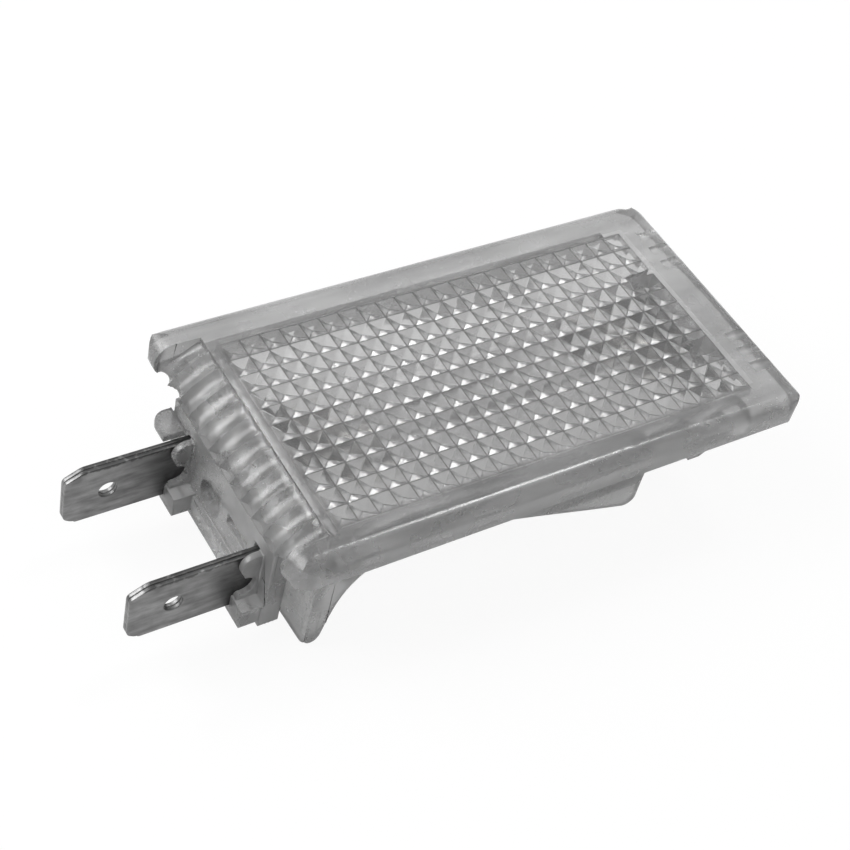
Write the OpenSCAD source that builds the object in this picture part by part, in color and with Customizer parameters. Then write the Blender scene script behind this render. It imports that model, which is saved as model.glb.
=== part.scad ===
// Car trunk light: a clear one-piece snap-in housing with a prism lens,
// two flat push-on terminals and a festoon bulb held between spring plates.
// The construction is drawn in the lens frame: X along the lens, Y across it
// and Z = 0 on the lens face. Each sub-part is then moved so that the origin
// lies under the middle of the whole light, on the level of the leg tips.

/* [Lens] */
// Number of prism columns along the lens
prism_cols = 22; // [18:1:22]
// Number of prism rows across the lens
prism_rows = 11; // [9:1:11]
// Pitch of the prism grid
prism_pitch = 1.95; // [1.8:0.05:1.95]
// Height of each prism on the underside
prism_h = 0.75; // [0.4:0.05:0.8]
// Thickness of the clear plate above the prisms
lens_t = 1.3; // [1:0.1:1.5]

/* [Flange] */
// Width of the flange across both long rims
flange_w = 28.2; // [27:0.1:30]
// Thickness of the flange
flange_t = 3; // [2.6:0.1:3.4]
// Distance from the lens centre to the right end
flange_right = 25.1; // [24:0.1:26]
// Distance from the lens centre to the rolled ends of the long rims
flange_left = 27; // [26.8:0.1:28]
// Radius along the top of the long rims
rim_r = 1.3; // [0.8:0.1:1.6]
// How far the middle of the right end bulges out
end_bulge = 0.35; // [0.2:0.05:0.8]

/* [Fluted end] */
// Distance from the lens centre to the step where the flutes start
flute_start = 22.8; // [22.4:0.1:23]
// Distance from the lens centre to the foot of the flutes
flute_foot = 26.4; // [26:0.1:26.6]
// Depth of the flutes
flute_depth = 0.45; // [0.2:0.05:0.6]
// Radius of the convex end that the flutes run down
flute_sweep_r = 8; // [6:0.5:12]

/* [Skirt] */
// Distance from the middle to the outside of each skirt wall
skirt_y = 12.2; // [12:0.1:12.6]
// Thickness of the skirt walls
wall_t = 1.3; // [1:0.1:1.5]
// Depth of the corner legs below the lens face
leg_z = 14.3; // [13.8:0.1:15]
// Depth of the snap lobes below the lens face
lobe_z = 10.2; // [9.5:0.1:11]

/* [Terminals] */
// Width of each push-on tab
tab_w = 6.3; // [6.3:0.1:6.3]
// Thickness of each push-on tab
tab_t = 0.8; // [0.8:0.1:0.8]
// Distance between the two tabs
tab_pitch = 12.8; // [12.5:0.1:13]
// Distance from the lens centre to the tips of the tabs
tab_tip = 37.65; // [37:0.05:39]
// Diameter of the detent hole in each tab
tab_hole_d = 1.7; // [1.5:0.1:2]
// Thickness of the spring sheet behind the tabs
sheet_t = 0.4; // [0.3:0.05:0.5]

/* [Bulb] */
// Length of the festoon bulb over its two caps
bulb_l = 41; // [40:0.5:41]
// Diameter of the glass tube
glass_d = 10.5; // [9:0.5:10.5]
// Diameter of the end caps
cap_d = 7; // [6.5:0.1:7.5]

/* [Hidden] */
$fn = 48;

eps = 0.01;
clear_colour = [0.72, 0.74, 0.75, 0.55];
tin_colour = [0.55, 0.55, 0.56];

// Lens field, pocket and flange
field_l = prism_cols * prism_pitch;
field_w = prism_rows * prism_pitch;
pocket_x = field_l / 2 + 0.1;
pocket_y = skirt_y - wall_t;
rim_y = flange_w / 2;
corner_r = 1.6;
end_corner_r = 0.6;
end_edge_r = 1;
rim_roll_r = 1.9;
flute_y = 11.6;
block_t = 4;
bulge_y = 5.6;

// Fluted end: the crests run along an arc in the XZ plane
flute_top_z = -0.7;
flute_foot_z = -2.9;
chord = norm([flute_foot - flute_start, flute_top_z - flute_foot_z]);
chord_a = atan2(flute_top_z - flute_foot_z, flute_foot - flute_start);
sweep_rise = sqrt(pow(flute_sweep_r, 2) - pow(chord / 2, 2));
sweep_x = -(flute_start + flute_foot) / 2 + sweep_rise * sin(chord_a);
sweep_z = (flute_top_z + flute_foot_z) / 2 - sweep_rise * cos(chord_a);
flute_r = (pow(prism_pitch / 2, 2) + pow(flute_depth, 2)) / (2 * flute_depth);
flute_phase = 0.1;

// Skirt, legs and lobes
leg_x = 23.4;
leg_y = 7.8;
lobe_x = 10.25;
arch_z = 4.6;
leg_tip_r = 0.9;
lobe_r = 1;
rail_x = 20.5;
rail_z = 5;
nib_x = 15.9;
nib_z = 6.5;

// End wall and the two terminal sockets
end_wall_x = flute_foot;
end_wall_in = 24.8;
end_wall_z = 12.3;
end_wall_near = 9.9;
end_wall_far = 8.4;
rib_t = 0.35;
rib_top = 9.8;
tab_mid = -0.9;
tab_z = -8.25;
hole_rise = 0.1;
socket_x = 28.5;
socket_top = 4.55;
slot_w = 1;
cheek_t = 0.65;
tongue_r = 1.25;
tongue_x = 26.95;
notch_r = 1.1;
notch_x = 27.8;
notch_z = -8.1;
heel_z = 9.4;
ledge_t = 0.7;
ledge_y = 3.35;
ledge_r = 1.4;
foot_top = 9.6;
foot_z = 11.85;
foot_y = 2.5;
foot_r = 0.3;
core_hole_d = 3.4;
core_hole_y = 0.8;
core_hole_z = -7.85;
recess_t = 0.8;

// Bulb and its spring plates
bulb_z = -8.1;
plate_x = bulb_l / 2 - 0.9;
plate_w = 8.2;
plate_top = 3.6;
plate_z = 12.4;
plate_hole_d = 3.05;
strip_y = pocket_y - 0.25;
strip_top = 4.4;
strip_z = 8.2;
holder_y = 5.6;
holder_x = 22.8;
glass_l = 30.4;
glass_wall = 0.5;
shoulder_x = 10.9;
neck_x = 13.4;
cap_l = 4.7;
cap_wall = 0.3;
cap_cone = 2.2;
tip_r = 1.2;
filament_l = 12;
filament_d = 0.9;
lead_d = 0.45;

// The origin under the middle of the light
shift = [(tab_tip - flange_right - end_bulge) / 2, 0, leg_z];

// Points of an arc, from angle a0 to a1
function arc(cx, cy, r, a0, a1, n = 8) =
    [for (i = [0:n]) let(a = a0 + (a1 - a0) * i / n) [cx + r * cos(a), cy + r * sin(a)]];

// Points of a cubic curve between p0 and p3
function bezier(p0, p1, p2, p3, n = 14) =
    [for (i = [0:n]) let(t = i / n, u = 1 - t)
        u * u * u * p0 + 3 * u * u * t * p1 + 3 * u * t * t * p2 + t * t * t * p3];

// Extrudes an outline drawn in X and Z along Y, from y0 to y1
module along_y(y0, y1) {
    translate([0, y1, 0]) rotate([90, 0, 0]) linear_extrude(y1 - y0) children();
}

// Extrudes an outline drawn in Y and Z along X, from x0 to x1
module along_x(x0, x1) {
    translate([x0, 0, 0]) rotate([90, 0, 90]) linear_extrude(x1 - x0) children();
}

// A box between two corners
module box(a, b) {
    translate([min(a.x, b.x), min(a.y, b.y), min(a.z, b.z)])
        cube([abs(a.x - b.x), abs(a.y - b.y), abs(a.z - b.z)]);
}

// Plan of the flange: rounded corners and a right end that bulges in the middle
module flange_plan() {
    bulge_r = (pow(bulge_y, 2) + pow(end_bulge, 2)) / (2 * end_bulge);
    polygon(concat(
        arc(-flange_left + corner_r, rim_y - corner_r, corner_r, 180, 90),
        arc(flange_right - end_corner_r, rim_y - end_corner_r, end_corner_r, 90, 0),
        arc(flange_right - bulge_r + end_bulge, 0, bulge_r,
            asin(bulge_y / bulge_r), -asin(bulge_y / bulge_r), 16),
        arc(flange_right - end_corner_r, -rim_y + end_corner_r, end_corner_r, 0, -90),
        arc(-flange_left + corner_r, -rim_y + corner_r, corner_r, -90, -180)));
}

// Cross-section of the flange: both long rims rounded along the top
module flange_section() {
    for (side = [-1, 1])
        translate([side * (rim_y - rim_r), -rim_r]) circle(rim_r);
    translate([-rim_y + rim_r, -flange_t]) square([2 * (rim_y - rim_r), flange_t]);
    translate([-rim_y, -flange_t]) square([2 * rim_y, flange_t - rim_r]);
}

// Side view of the flange: long rims that roll over at the left end
module flange_side() {
    right = flange_right + end_bulge;
    translate([-flange_left + rim_roll_r, -rim_roll_r]) circle(rim_roll_r);
    translate([right - end_edge_r, -end_edge_r]) circle(end_edge_r);
    translate([-flange_left + rim_roll_r, -flange_t])
        square([flange_left - rim_roll_r + right - end_edge_r, flange_t]);
    polygon([[-flange_left, -rim_roll_r], [right, -rim_roll_r],
             [right, -flange_t], [-flange_left + 0.5, -flange_t]]);
    translate([right - end_edge_r - eps, -flange_t])
        square([end_edge_r + eps, flange_t - end_edge_r]);
}

// Scalloped outline of the fluted end, as radius over Y
module flute_outline() {
    difference() {
        translate([0, -flute_y]) square([flute_sweep_r, 2 * flute_y]);
        for (row = [-6:5])
            translate([flute_sweep_r - flute_depth + flute_r,
                       (row + 0.5 + flute_phase) * prism_pitch])
                circle(flute_r);
    }
}

// The convex fluted end between the two long rims
module fluted_end() {
    intersection() {
        translate([sweep_x, 0, sweep_z]) rotate([-90, 0, 0])
            rotate_extrude($fn = 96) flute_outline();
        union() {
            box([-flute_foot, -flute_y, -flange_t], [-flute_start + eps, flute_y, 0]);
            box([-flute_foot, -end_wall_near, -block_t], [-flute_start + eps, end_wall_far, 0]);
        }
    }
}

// Pyramids on the underside of the lens, cut by two crossed rows of ridges
module prism_field() {
    x0 = -field_l / 2;
    y0 = -field_w / 2;
    intersection() {
        along_y(-field_w / 2, field_w / 2)
            polygon(concat([[x0, -lens_t + eps]],
                [for (i = [0:prism_cols - 1], k = [0, 0.5])
                    [x0 + (i + k) * prism_pitch, -lens_t - 2 * k * prism_h]],
                [[-x0, -lens_t], [-x0, -lens_t + eps]]));
        along_x(-field_l / 2, field_l / 2)
            polygon(concat([[y0, -lens_t + eps]],
                [for (j = [0:prism_rows - 1], k = [0, 0.5])
                    [y0 + (j + k) * prism_pitch, -lens_t - 2 * k * prism_h]],
                [[-y0, -lens_t], [-y0, -lens_t + eps]]));
    }
}

// Short grooves across the right end strip, on both sides of its plain middle
module end_grooves() {
    for (side = [-1, 1], i = [0:2])
        translate([field_l / 2 + 1.3, side * (5.2 + i * prism_pitch), 0.55])
            rotate([0, 90, 0]) cylinder(r = 0.8, h = 4);
}

// Side view of a skirt wall: corner leg, long arch, snap lobe and low rail with a nib
module skirt_outline() {
    inner = bezier([-leg_x + 1.5, -leg_z + leg_tip_r + 0.2], [-leg_x + 2.4, -9.4],
                   [-leg_x + 2.8, -arch_z - 1], [-15, -arch_z]);
    crown = bezier([-15, -arch_z], [-8, -arch_z + 0.5],
                   [-1.5, -7.1], [lobe_x - lobe_r - 0.2, -lobe_z]);
    polygon(concat([[-leg_x, -flange_t + eps]],
        [[-leg_x, -leg_z + leg_tip_r]],
        arc(-leg_x + leg_tip_r - 0.2, -leg_z + leg_tip_r + 0.2, leg_tip_r - 0.2, 200, 340, 6),
        inner, crown,
        arc(lobe_x - lobe_r, -lobe_z + lobe_r, lobe_r, -90, 0, 6),
        [[lobe_x, -rail_z], [nib_x - 1.6, -rail_z], [nib_x - 0.6, -nib_z],
         [nib_x + 0.7, -nib_z], [nib_x + 2.7, -rail_z], [rail_x, -rail_z],
         [rail_x, -flange_t + eps]]));
}

// End view of a corner leg, with its outer tip rounded
module leg_outline() {
    polygon(concat([[-leg_y, -flange_t + eps], [-leg_y, -leg_z]],
        arc(-skirt_y + 1, -leg_z + 1.2, 1, 270, 180, 6),
        [[-skirt_y, -flange_t + eps]]));
}

// One skirt wall with its corner leg; side is -1 near and 1 far
module skirt(side) {
    scale([1, -side, 1]) {
        along_y(-skirt_y, -skirt_y + wall_t) skirt_outline();
        along_x(-leg_x, -leg_x + wall_t) leg_outline();
    }
}

// Side view of a socket's cheek: a round tongue above a round notch and a heel
module cheek_outline() {
    tongue_z = -socket_top - tongue_r;
    difference() {
        union() {
            translate([-tongue_x, tongue_z]) circle(tongue_r);
            translate([-tongue_x, tongue_z - tongue_r])
                square([tongue_x - end_wall_in, 2 * tongue_r]);
            translate([-notch_x, -foot_z + eps])
                square([notch_x - end_wall_in, foot_z + tongue_z]);
            polygon([[-notch_x, notch_z - notch_r + 0.2], [-socket_x + 0.2, -heel_z],
                     [-socket_x + 0.2, -foot_z + eps], [-notch_x, -foot_z + eps]]);
        }
        translate([-notch_x, notch_z]) circle(notch_r);
    }
}

// Plan of the ledge beside the far tab: a rounded outer corner, stepped in at the wall
module ledge_plan(y) {
    polygon(concat([[-socket_x, y]],
        arc(-socket_x + ledge_r, y + ledge_y - ledge_r, ledge_r, 180, 90),
        [[-end_wall_x - eps, y + ledge_y], [-end_wall_x - eps, end_wall_far],
         [-end_wall_in, end_wall_far], [-end_wall_in, y]]));
}

// End view of the foot under a tab, rounded along its lower edges
module foot_outline(y) {
    polygon(concat([[y + 0.15, -foot_top]],
        arc(y + 0.15 - foot_r, -foot_z + foot_r, foot_r, 0, -90, 4),
        arc(y - foot_y + foot_r, -foot_z + foot_r, foot_r, -90, -180, 4),
        [[y - foot_y, -foot_top]]));
}

// A moulded socket around one tab, open at its tip and above the tab
module socket(y, ledge) {
    difference() {
        union() {
            along_y(y - slot_w / 2 - cheek_t, y - slot_w / 2 + eps) cheek_outline();
            along_x(-socket_x, -end_wall_in) foot_outline(y);
            if (ledge)
                translate([0, 0, -socket_top - ledge_t])
                    linear_extrude(ledge_t) ledge_plan(y);
        }
        box([-socket_x - 1, y - slot_w / 2, 0], [-end_wall_in + 1, y + slot_w / 2, tab_z - tab_w / 2]);
    }
}

// The end wall that carries the sockets, with slots for the tabs
module end_wall() {
    difference() {
        union() {
            box([-end_wall_x, -end_wall_near, -flange_t],
                [-end_wall_in, end_wall_far, -end_wall_z]);
            box([-end_wall_x - rib_t, -end_wall_near, -rib_top],
                [-end_wall_in, end_wall_far, -end_wall_z]);
        }
        for (side = [-1, 1])
            box([-end_wall_x - 1, tab_mid + side * tab_pitch / 2 - slot_w / 2, -socket_top],
                [-end_wall_in + 1, tab_mid + side * tab_pitch / 2 + slot_w / 2,
                 tab_z - tab_w / 2]);
        translate([-end_wall_x - 1, core_hole_y, core_hole_z]) rotate([0, 90, 0])
            cylinder(d = core_hole_d, h = end_wall_x - end_wall_in + 2);
        box([-end_wall_x - 1, -2.3, -6.2], [-end_wall_x + recess_t, -5.7, -7.5]);
    }
}

// Grooved guides that hold the right spring plate, with a slot for the near strip
module plate_guides() {
    difference() {
        for (s = [-1, 1])
            box([plate_x - 0.9, s * (holder_y - 1.9), -lens_t],
                [pocket_x + eps, s * holder_y, -end_wall_z]);
        box([plate_x - 0.05, holder_y - 1.4, -lens_t - 1],
            [plate_x + sheet_t + 0.05, -holder_y + 1.4, -end_wall_z - 1]);
        box([plate_x - 0.05, 0, -strip_top + 0.05],
            [plate_x + sheet_t + 0.05, -holder_y - 1, -end_wall_z - 1]);
    }
}

// The clear one-piece moulding: flange, lens, skirt, end wall and sockets
module lens_housing() {
    color(clear_colour) translate(shift) {
        difference() {
            intersection() {
                translate([0, 0, -flange_t]) linear_extrude(flange_t) flange_plan();
                along_x(-flange_left - 1, flange_right + 1) flange_section();
                along_y(-rim_y - 1, rim_y + 1) flange_side();
            }
            box([-flange_left - 1, -flute_y, -flange_t - 1], [-flute_start, flute_y, 1]);
            box([-pocket_x, -pocket_y, -lens_t], [pocket_x, pocket_y, -flange_t - 1]);
            end_grooves();
        }
        fluted_end();
        prism_field();
        box([-flute_start - eps, -leg_y - 1, -flange_t + eps], [-pocket_x, leg_y + 1, -block_t]);
        skirt(-1);
        skirt(1);
        end_wall();
        socket(tab_mid - tab_pitch / 2, false);
        socket(tab_mid + tab_pitch / 2, true);
        plate_guides();
        box([pocket_x, -holder_y, -flange_t + eps], [holder_x, holder_y, -end_wall_z]);
    }
}

// A push-on tab with chamfered corners, a detent hole and its folded seam
module tab(y, x_end) {
    difference() {
        along_y(y - tab_t / 2, y + tab_t / 2)
            polygon([[-tab_tip, tab_z - 2.2], [-tab_tip + 1.3, tab_z - tab_w / 2],
                     [-x_end, tab_z - tab_w / 2], [-x_end, tab_z + tab_w / 2],
                     [-tab_tip + 1.7, tab_z + tab_w / 2], [-tab_tip, tab_z + 2.3]]);
        translate([-tab_tip + 3.95, y + tab_t, tab_z + hole_rise]) rotate([90, 0, 0])
            cylinder(d = tab_hole_d, h = 2 * tab_t);
        box([-tab_tip - 1, y - 0.04, tab_z + tab_w / 2 - 0.15],
            [-socket_x, y + 0.04, tab_z + tab_w]);
    }
}

// A spring plate that the pointed end of a bulb cap seats in
module spring_plate(side) {
    difference() {
        box([side * plate_x, -plate_w / 2, -plate_top],
            [side * (plate_x + sheet_t), plate_w / 2, -plate_z]);
        translate([side * plate_x - 1, 0, bulb_z]) rotate([0, 90, 0])
            cylinder(d = plate_hole_d, h = 2 + sheet_t);
    }
}

// Near contact: its tab, the strip along the near wall and the right spring plate
module contact_near() {
    y = tab_mid - tab_pitch / 2;
    turn_x = end_wall_in - 3;
    color(tin_colour) translate(shift) {
        tab(y, end_wall_in - 0.8);
        translate([0, 0, -strip_z]) linear_extrude(strip_z - strip_top)
            polygon([[-end_wall_in + 0.6, y - sheet_t / 2], [-end_wall_in + 0.6, y + sheet_t / 2],
                     [-turn_x + 0.4, y + sheet_t / 2], [-leg_x + 4, -strip_y + sheet_t],
                     [plate_x, -strip_y + sheet_t], [plate_x, -plate_w / 2 + eps],
                     [plate_x + sheet_t, -plate_w / 2 + eps], [plate_x + sheet_t, -strip_y],
                     [-leg_x + 3.8, -strip_y], [-turn_x, y - sheet_t / 2]]);
        spring_plate(1);
    }
}

// Far contact: its tab, the turn behind the end wall and the left spring plate
module contact_far() {
    y = tab_mid + tab_pitch / 2;
    color(tin_colour) translate(shift) {
        tab(y, end_wall_in - 0.8);
        translate([0, 0, -strip_z]) linear_extrude(strip_z - strip_top)
            polygon([[-end_wall_in + 0.6, y - sheet_t / 2], [-end_wall_in + 0.6, y + sheet_t / 2],
                     [-plate_x, y + sheet_t / 2], [-plate_x, plate_w / 2 - eps],
                     [-plate_x - sheet_t, plate_w / 2 - eps], [-plate_x - sheet_t, y - sheet_t / 2]]);
        spring_plate(-1);
    }
}

// Turns a shape drawn around Z onto the bulb's axis; side is -1 left, 1 right
module on_bulb_axis(side = 1) {
    translate([0, 0, bulb_z]) rotate([0, side * 90, 0]) children();
}

// Half outline of the glass tube, drawn in to a neck at both ends
module glass_outline(inset) {
    body = glass_d / 2 - inset;
    neck = cap_d / 2 - cap_wall - 0.02 - inset;
    end = glass_l / 2 - inset;
    polygon(concat([[0, -end], [neck, -end]],
        bezier([neck, -neck_x], [neck, -neck_x + 1.3],
               [body, -shoulder_x - 1.2], [body, -shoulder_x], 8),
        bezier([body, shoulder_x], [body, shoulder_x + 1.2],
               [neck, neck_x - 1.3], [neck, neck_x], 8),
        [[neck, end], [0, end]]));
}

// Sealed glass tube of the bulb
module bulb_glass() {
    color([0.9, 0.92, 0.93, 0.4]) translate(shift) on_bulb_axis()
        rotate_extrude() difference() {
            glass_outline(0);
            glass_outline(glass_wall);
        }
}

// Pressed end cap: a skirt around the glass and a cone with a blunt point
module bulb_cap(side) {
    base = bulb_l / 2 - cap_cone - cap_l;
    rotate_extrude_outline = concat(
        [[cap_d / 2 - cap_wall, base], [cap_d / 2, base]],
        [[cap_d / 2, bulb_l / 2 - cap_cone - 0.6], [cap_d / 2 - 0.5, bulb_l / 2 - cap_cone]],
        [[tip_r + 0.3, bulb_l / 2 - 0.9], [tip_r, bulb_l / 2 - 0.5], [0, bulb_l / 2 - 0.5]],
        [[0, bulb_l / 2 - 0.5 - cap_wall], [cap_d / 2 - 1, bulb_l / 2 - cap_cone - cap_wall]],
        [[cap_d / 2 - cap_wall, bulb_l / 2 - cap_cone - 0.8]]);
    color("silver") translate(shift) on_bulb_axis(side)
        rotate_extrude() polygon(rotate_extrude_outline);
}

module bulb_cap_left() { bulb_cap(-1); }

module bulb_cap_right() { bulb_cap(1); }

// Drop of solder that closes a cap and joins it to its lead
module solder_tip(side) {
    color([0.6, 0.6, 0.62]) translate(shift) on_bulb_axis(side)
        translate([0, 0, bulb_l / 2 - 0.5]) intersection() {
            sphere(r = 0.9);
            translate([-1, -1, 0]) cube([2, 2, 0.5]);
        }
}

module solder_tip_left() { solder_tip(-1); }

module solder_tip_right() { solder_tip(1); }

// Coiled filament along the bulb's axis
module filament() {
    turns = 14;
    color([0.35, 0.35, 0.36]) translate(shift) on_bulb_axis()
        translate([0, 0, -filament_l / 2])
            linear_extrude(filament_l, twist = -360 * turns, slices = turns * 12, $fn = 8)
                translate([filament_d / 2 - 0.17, 0]) circle(0.17, $fn = 8);
}

// Straight lead wire from a cap to one end of the filament
module lead(side) {
    color([0.45, 0.45, 0.46]) translate(shift) on_bulb_axis(side)
        translate([0, 0, filament_l / 2])
            cylinder(d = lead_d, h = glass_l / 2 - glass_wall - filament_l / 2);
}

module lead_left() { lead(-1); }

module lead_right() { lead(1); }

lens_housing();
contact_near();
contact_far();
bulb_glass();
bulb_cap_left();
bulb_cap_right();
filament();
lead_left();
lead_right();
solder_tip_left();
solder_tip_right();
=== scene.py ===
# %% [markdown]
# A car trunk light, dressed for its portrait. The solids come from the CAD model: a clear
# snap-in moulding, two sheet-metal contacts and a festoon bulb. The bulb's glass tube
# already has its true shape, so that solid stays and only gets a finish. Everything else is
# built again over its solid, because a moulded edge, a folded sheet, a pressed cap and a
# thin wire all have softer or finer forms than the solids do.

# %% Load the fixed frame
import bpy
import bmesh
import math
from mathutils import Matrix, Vector


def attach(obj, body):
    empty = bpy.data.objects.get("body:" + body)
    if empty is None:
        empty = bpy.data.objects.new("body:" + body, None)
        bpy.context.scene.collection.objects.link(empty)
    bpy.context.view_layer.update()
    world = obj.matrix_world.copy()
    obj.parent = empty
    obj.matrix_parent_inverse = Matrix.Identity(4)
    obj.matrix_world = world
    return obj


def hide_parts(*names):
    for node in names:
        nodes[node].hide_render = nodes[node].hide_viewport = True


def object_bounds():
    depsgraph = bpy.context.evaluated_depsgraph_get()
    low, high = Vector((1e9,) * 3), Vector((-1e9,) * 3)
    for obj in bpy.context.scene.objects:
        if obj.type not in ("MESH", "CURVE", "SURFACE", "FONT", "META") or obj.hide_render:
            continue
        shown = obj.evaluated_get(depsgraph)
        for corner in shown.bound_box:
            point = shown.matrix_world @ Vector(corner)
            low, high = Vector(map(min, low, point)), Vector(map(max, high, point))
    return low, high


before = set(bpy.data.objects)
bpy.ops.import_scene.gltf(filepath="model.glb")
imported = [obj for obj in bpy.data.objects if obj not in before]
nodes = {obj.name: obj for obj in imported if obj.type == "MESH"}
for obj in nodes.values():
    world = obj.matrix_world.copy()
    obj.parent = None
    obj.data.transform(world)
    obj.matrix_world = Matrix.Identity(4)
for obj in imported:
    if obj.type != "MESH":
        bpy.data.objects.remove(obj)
cad_low, cad_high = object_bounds()
MM = 0.001
print("light in mm:", [round(v / MM, 2) for v in cad_high - cad_low])

# %% [markdown]
# The photograph looks down on the lens from the corner with the near contact. A pinhole
# camera was fitted to the lens's corners and prism grid, and gave a place, three
# directions and a focal length. A camera in Blender looks along its own -Z with +Y up, so
# those directions go into its matrix. The focal length in pixels becomes one in
# millimetres, because Blender wants it for a sensor of a given width.

# %% Camera
EYE_MM = (-74.11, -83.03, 125.45)
RIGHT = Vector((0.845964, -0.501036, 0.182505))
DOWN = Vector((-0.269129, -0.696644, -0.665024))
AHEAD = Vector((0.460342, 0.513469, -0.724178))
FOCAL_PIXELS = 1824.5
PICTURE_PIXELS = 850
SENSOR_MM = 36
NEAREST, FARTHEST = 0.005, 20

camera_data = bpy.data.cameras.new("photo_camera")
camera_data.sensor_width = SENSOR_MM
camera_data.lens = SENSOR_MM * FOCAL_PIXELS / PICTURE_PIXELS
camera_data.clip_start, camera_data.clip_end = NEAREST, FARTHEST
camera = bpy.data.objects.new("photo_camera", camera_data)
bpy.context.scene.collection.objects.link(camera)
turn = Matrix((RIGHT, -DOWN, -AHEAD)).transposed().to_4x4()
camera.matrix_world = Matrix.Translation(Vector(EYE_MM) * MM) @ turn
bpy.context.scene.camera = camera
print("lens of", round(camera_data.lens, 2), "mm")

# %% [markdown]
# Every finish below is a node tree. Two small helpers keep those trees readable: one
# starts a material and gives back its tree and its Principled shader, the other adds a
# node with its settings and joins what it is given to the node's sockets.

# %% Helpers for node trees
def add_node(tree, kind, inputs=None, **settings):
    node = tree.nodes.new(kind)
    for name, value in settings.items():
        setattr(node, name, value)
    for key, value in (inputs or {}).items():
        if isinstance(value, bpy.types.NodeSocket):
            tree.links.new(value, node.inputs[key])
        else:
            node.inputs[key].default_value = value
    return node


def new_finish(name, **sockets):
    finish = bpy.data.materials.new(name)
    finish.use_nodes = True
    tree = finish.node_tree
    skin = tree.nodes["Principled BSDF"]
    for key, value in sockets.items():
        skin.inputs[key.replace("_", " ")].default_value = value
    return finish, tree, skin


def grey(level):
    return (level, level, level, 1.0)


print("helpers ready, mid grey is", grey(0.5))

# %% [markdown]
# The light stands on a white table, as for a catalogue picture. Stronger lamps could turn
# the table white, but they would also wash out the clear plastic. So the lamps stay soft
# and the table shines a little by itself: mostly for the camera, which evens the background
# and still leaves a faint shadow, and less for what glass and metal show of it.

# %% White table
TABLE_HALF, TABLE_GAP = 3.0, 0.02 * MM
PAPER = 0.9
SEEN_SHARE, MIRRORED_SHARE = 0.92, 0.42
table_mesh = bpy.data.meshes.new("white_table")
corners = [(-TABLE_HALF, -TABLE_HALF), (TABLE_HALF, -TABLE_HALF),
           (TABLE_HALF, TABLE_HALF), (-TABLE_HALF, TABLE_HALF)]
table_mesh.from_pydata([(x, y, cad_low.z - TABLE_GAP) for x, y in corners], [], [(0, 1, 2, 3)])
table = bpy.data.objects.new("white_table", table_mesh)
bpy.context.scene.collection.objects.link(table)

table_white = bpy.data.materials.new("table_white")
table_white.use_nodes = True
tree = table_white.node_tree
tree.nodes.clear()
paper = add_node(tree, "ShaderNodeBsdfDiffuse", {"Color": grey(PAPER)})
glow = add_node(tree, "ShaderNodeEmission", {"Color": grey(1.0), "Strength": 1.0})
path = add_node(tree, "ShaderNodeLightPath")
mirrored = add_node(tree, "ShaderNodeMath", {0: path.outputs["Is Glossy Ray"],
                    1: path.outputs["Is Transmission Ray"]}, operation="MAXIMUM")
mirrored = add_node(tree, "ShaderNodeMath", {0: mirrored.outputs[0], 1: MIRRORED_SHARE},
                    operation="MULTIPLY")
share = add_node(tree, "ShaderNodeMath", {0: path.outputs["Is Camera Ray"], 1: SEEN_SHARE,
                 2: mirrored.outputs[0]}, operation="MULTIPLY_ADD", use_clamp=True)
blend = add_node(tree, "ShaderNodeMixShader", {0: share.outputs[0], 1: paper.outputs[0],
                                               2: glow.outputs[0]})
add_node(tree, "ShaderNodeOutputMaterial", {0: blend.outputs[0]})
table_mesh.materials.append(table_white)
print("table", round(TABLE_GAP / MM, 2), "mm under the light")

# %% [markdown]
# Two square lamps light it. The small one gives the sharper glints, and the wide one,
# which stands on the tabs' side, fills the shadows. The surround gives
# metal and plastic something pale to mirror, brighter above than below, so that faces
# at different angles differ in tone. Only the camera sees it as plain white.

# %% Lamps and surround
LAMPS = (("window_lamp", (0.288, 0.12, 0.513), 0.6, 0.12),
         ("fill_lamp", (-0.5, 0.3, 0.5), 4.0, 0.5))
HORIZON, ZENITH = -0.2, 1.0
SKY_LOW, SKY_HIGH = 0.35, 0.75


def soft_lamp(name, place, watts, size):
    data = bpy.data.lights.new(name, "AREA")
    data.energy, data.shape, data.size = watts, "SQUARE", size
    lamp = bpy.data.objects.new(name, data)
    lamp.location = place
    lamp.rotation_mode = "QUATERNION"
    lamp.rotation_quaternion = (-Vector(place)).to_track_quat("-Z", "Y")
    bpy.context.scene.collection.objects.link(lamp)


for row in LAMPS:
    soft_lamp(*row)

surround = bpy.data.worlds.new("pale_surround")
bpy.context.scene.world = surround
surround.use_nodes = True
tree = surround.node_tree
sky = tree.nodes["Background"]
path = add_node(tree, "ShaderNodeLightPath")
where = add_node(tree, "ShaderNodeTexCoord")
height = add_node(tree, "ShaderNodeSeparateXYZ", {0: where.outputs["Generated"]})
ramp = add_node(tree, "ShaderNodeMapRange", {0: height.outputs["Z"], 1: HORIZON,
                                             2: ZENITH, 3: SKY_LOW, 4: SKY_HIGH})
white = add_node(tree, "ShaderNodeMix", {"Factor": path.outputs["Is Camera Ray"],
                                         "A": ramp.outputs[0], "B": 1.0}, data_type="FLOAT")
tree.links.new(white.outputs["Result"], sky.inputs["Strength"])
sky.inputs["Color"].default_value = grey(1.0)
bpy.context.scene.view_settings.view_transform = "Standard"
print(len(LAMPS), "soft lamps and a pale surround")

# %% [markdown]
# Handling leaves faint greasy patches and fine dust on every smooth piece, and each
# finish needs its own amount. The effect is built once, as a node group that puts out a
# mask: large soft noise makes the patches and small sharp noise makes the dust specks.

# %% Handling marks group
PATCH_EDGE, DUST_EDGE = (0.42, 0.68), (0.66, 0.74)


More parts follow.
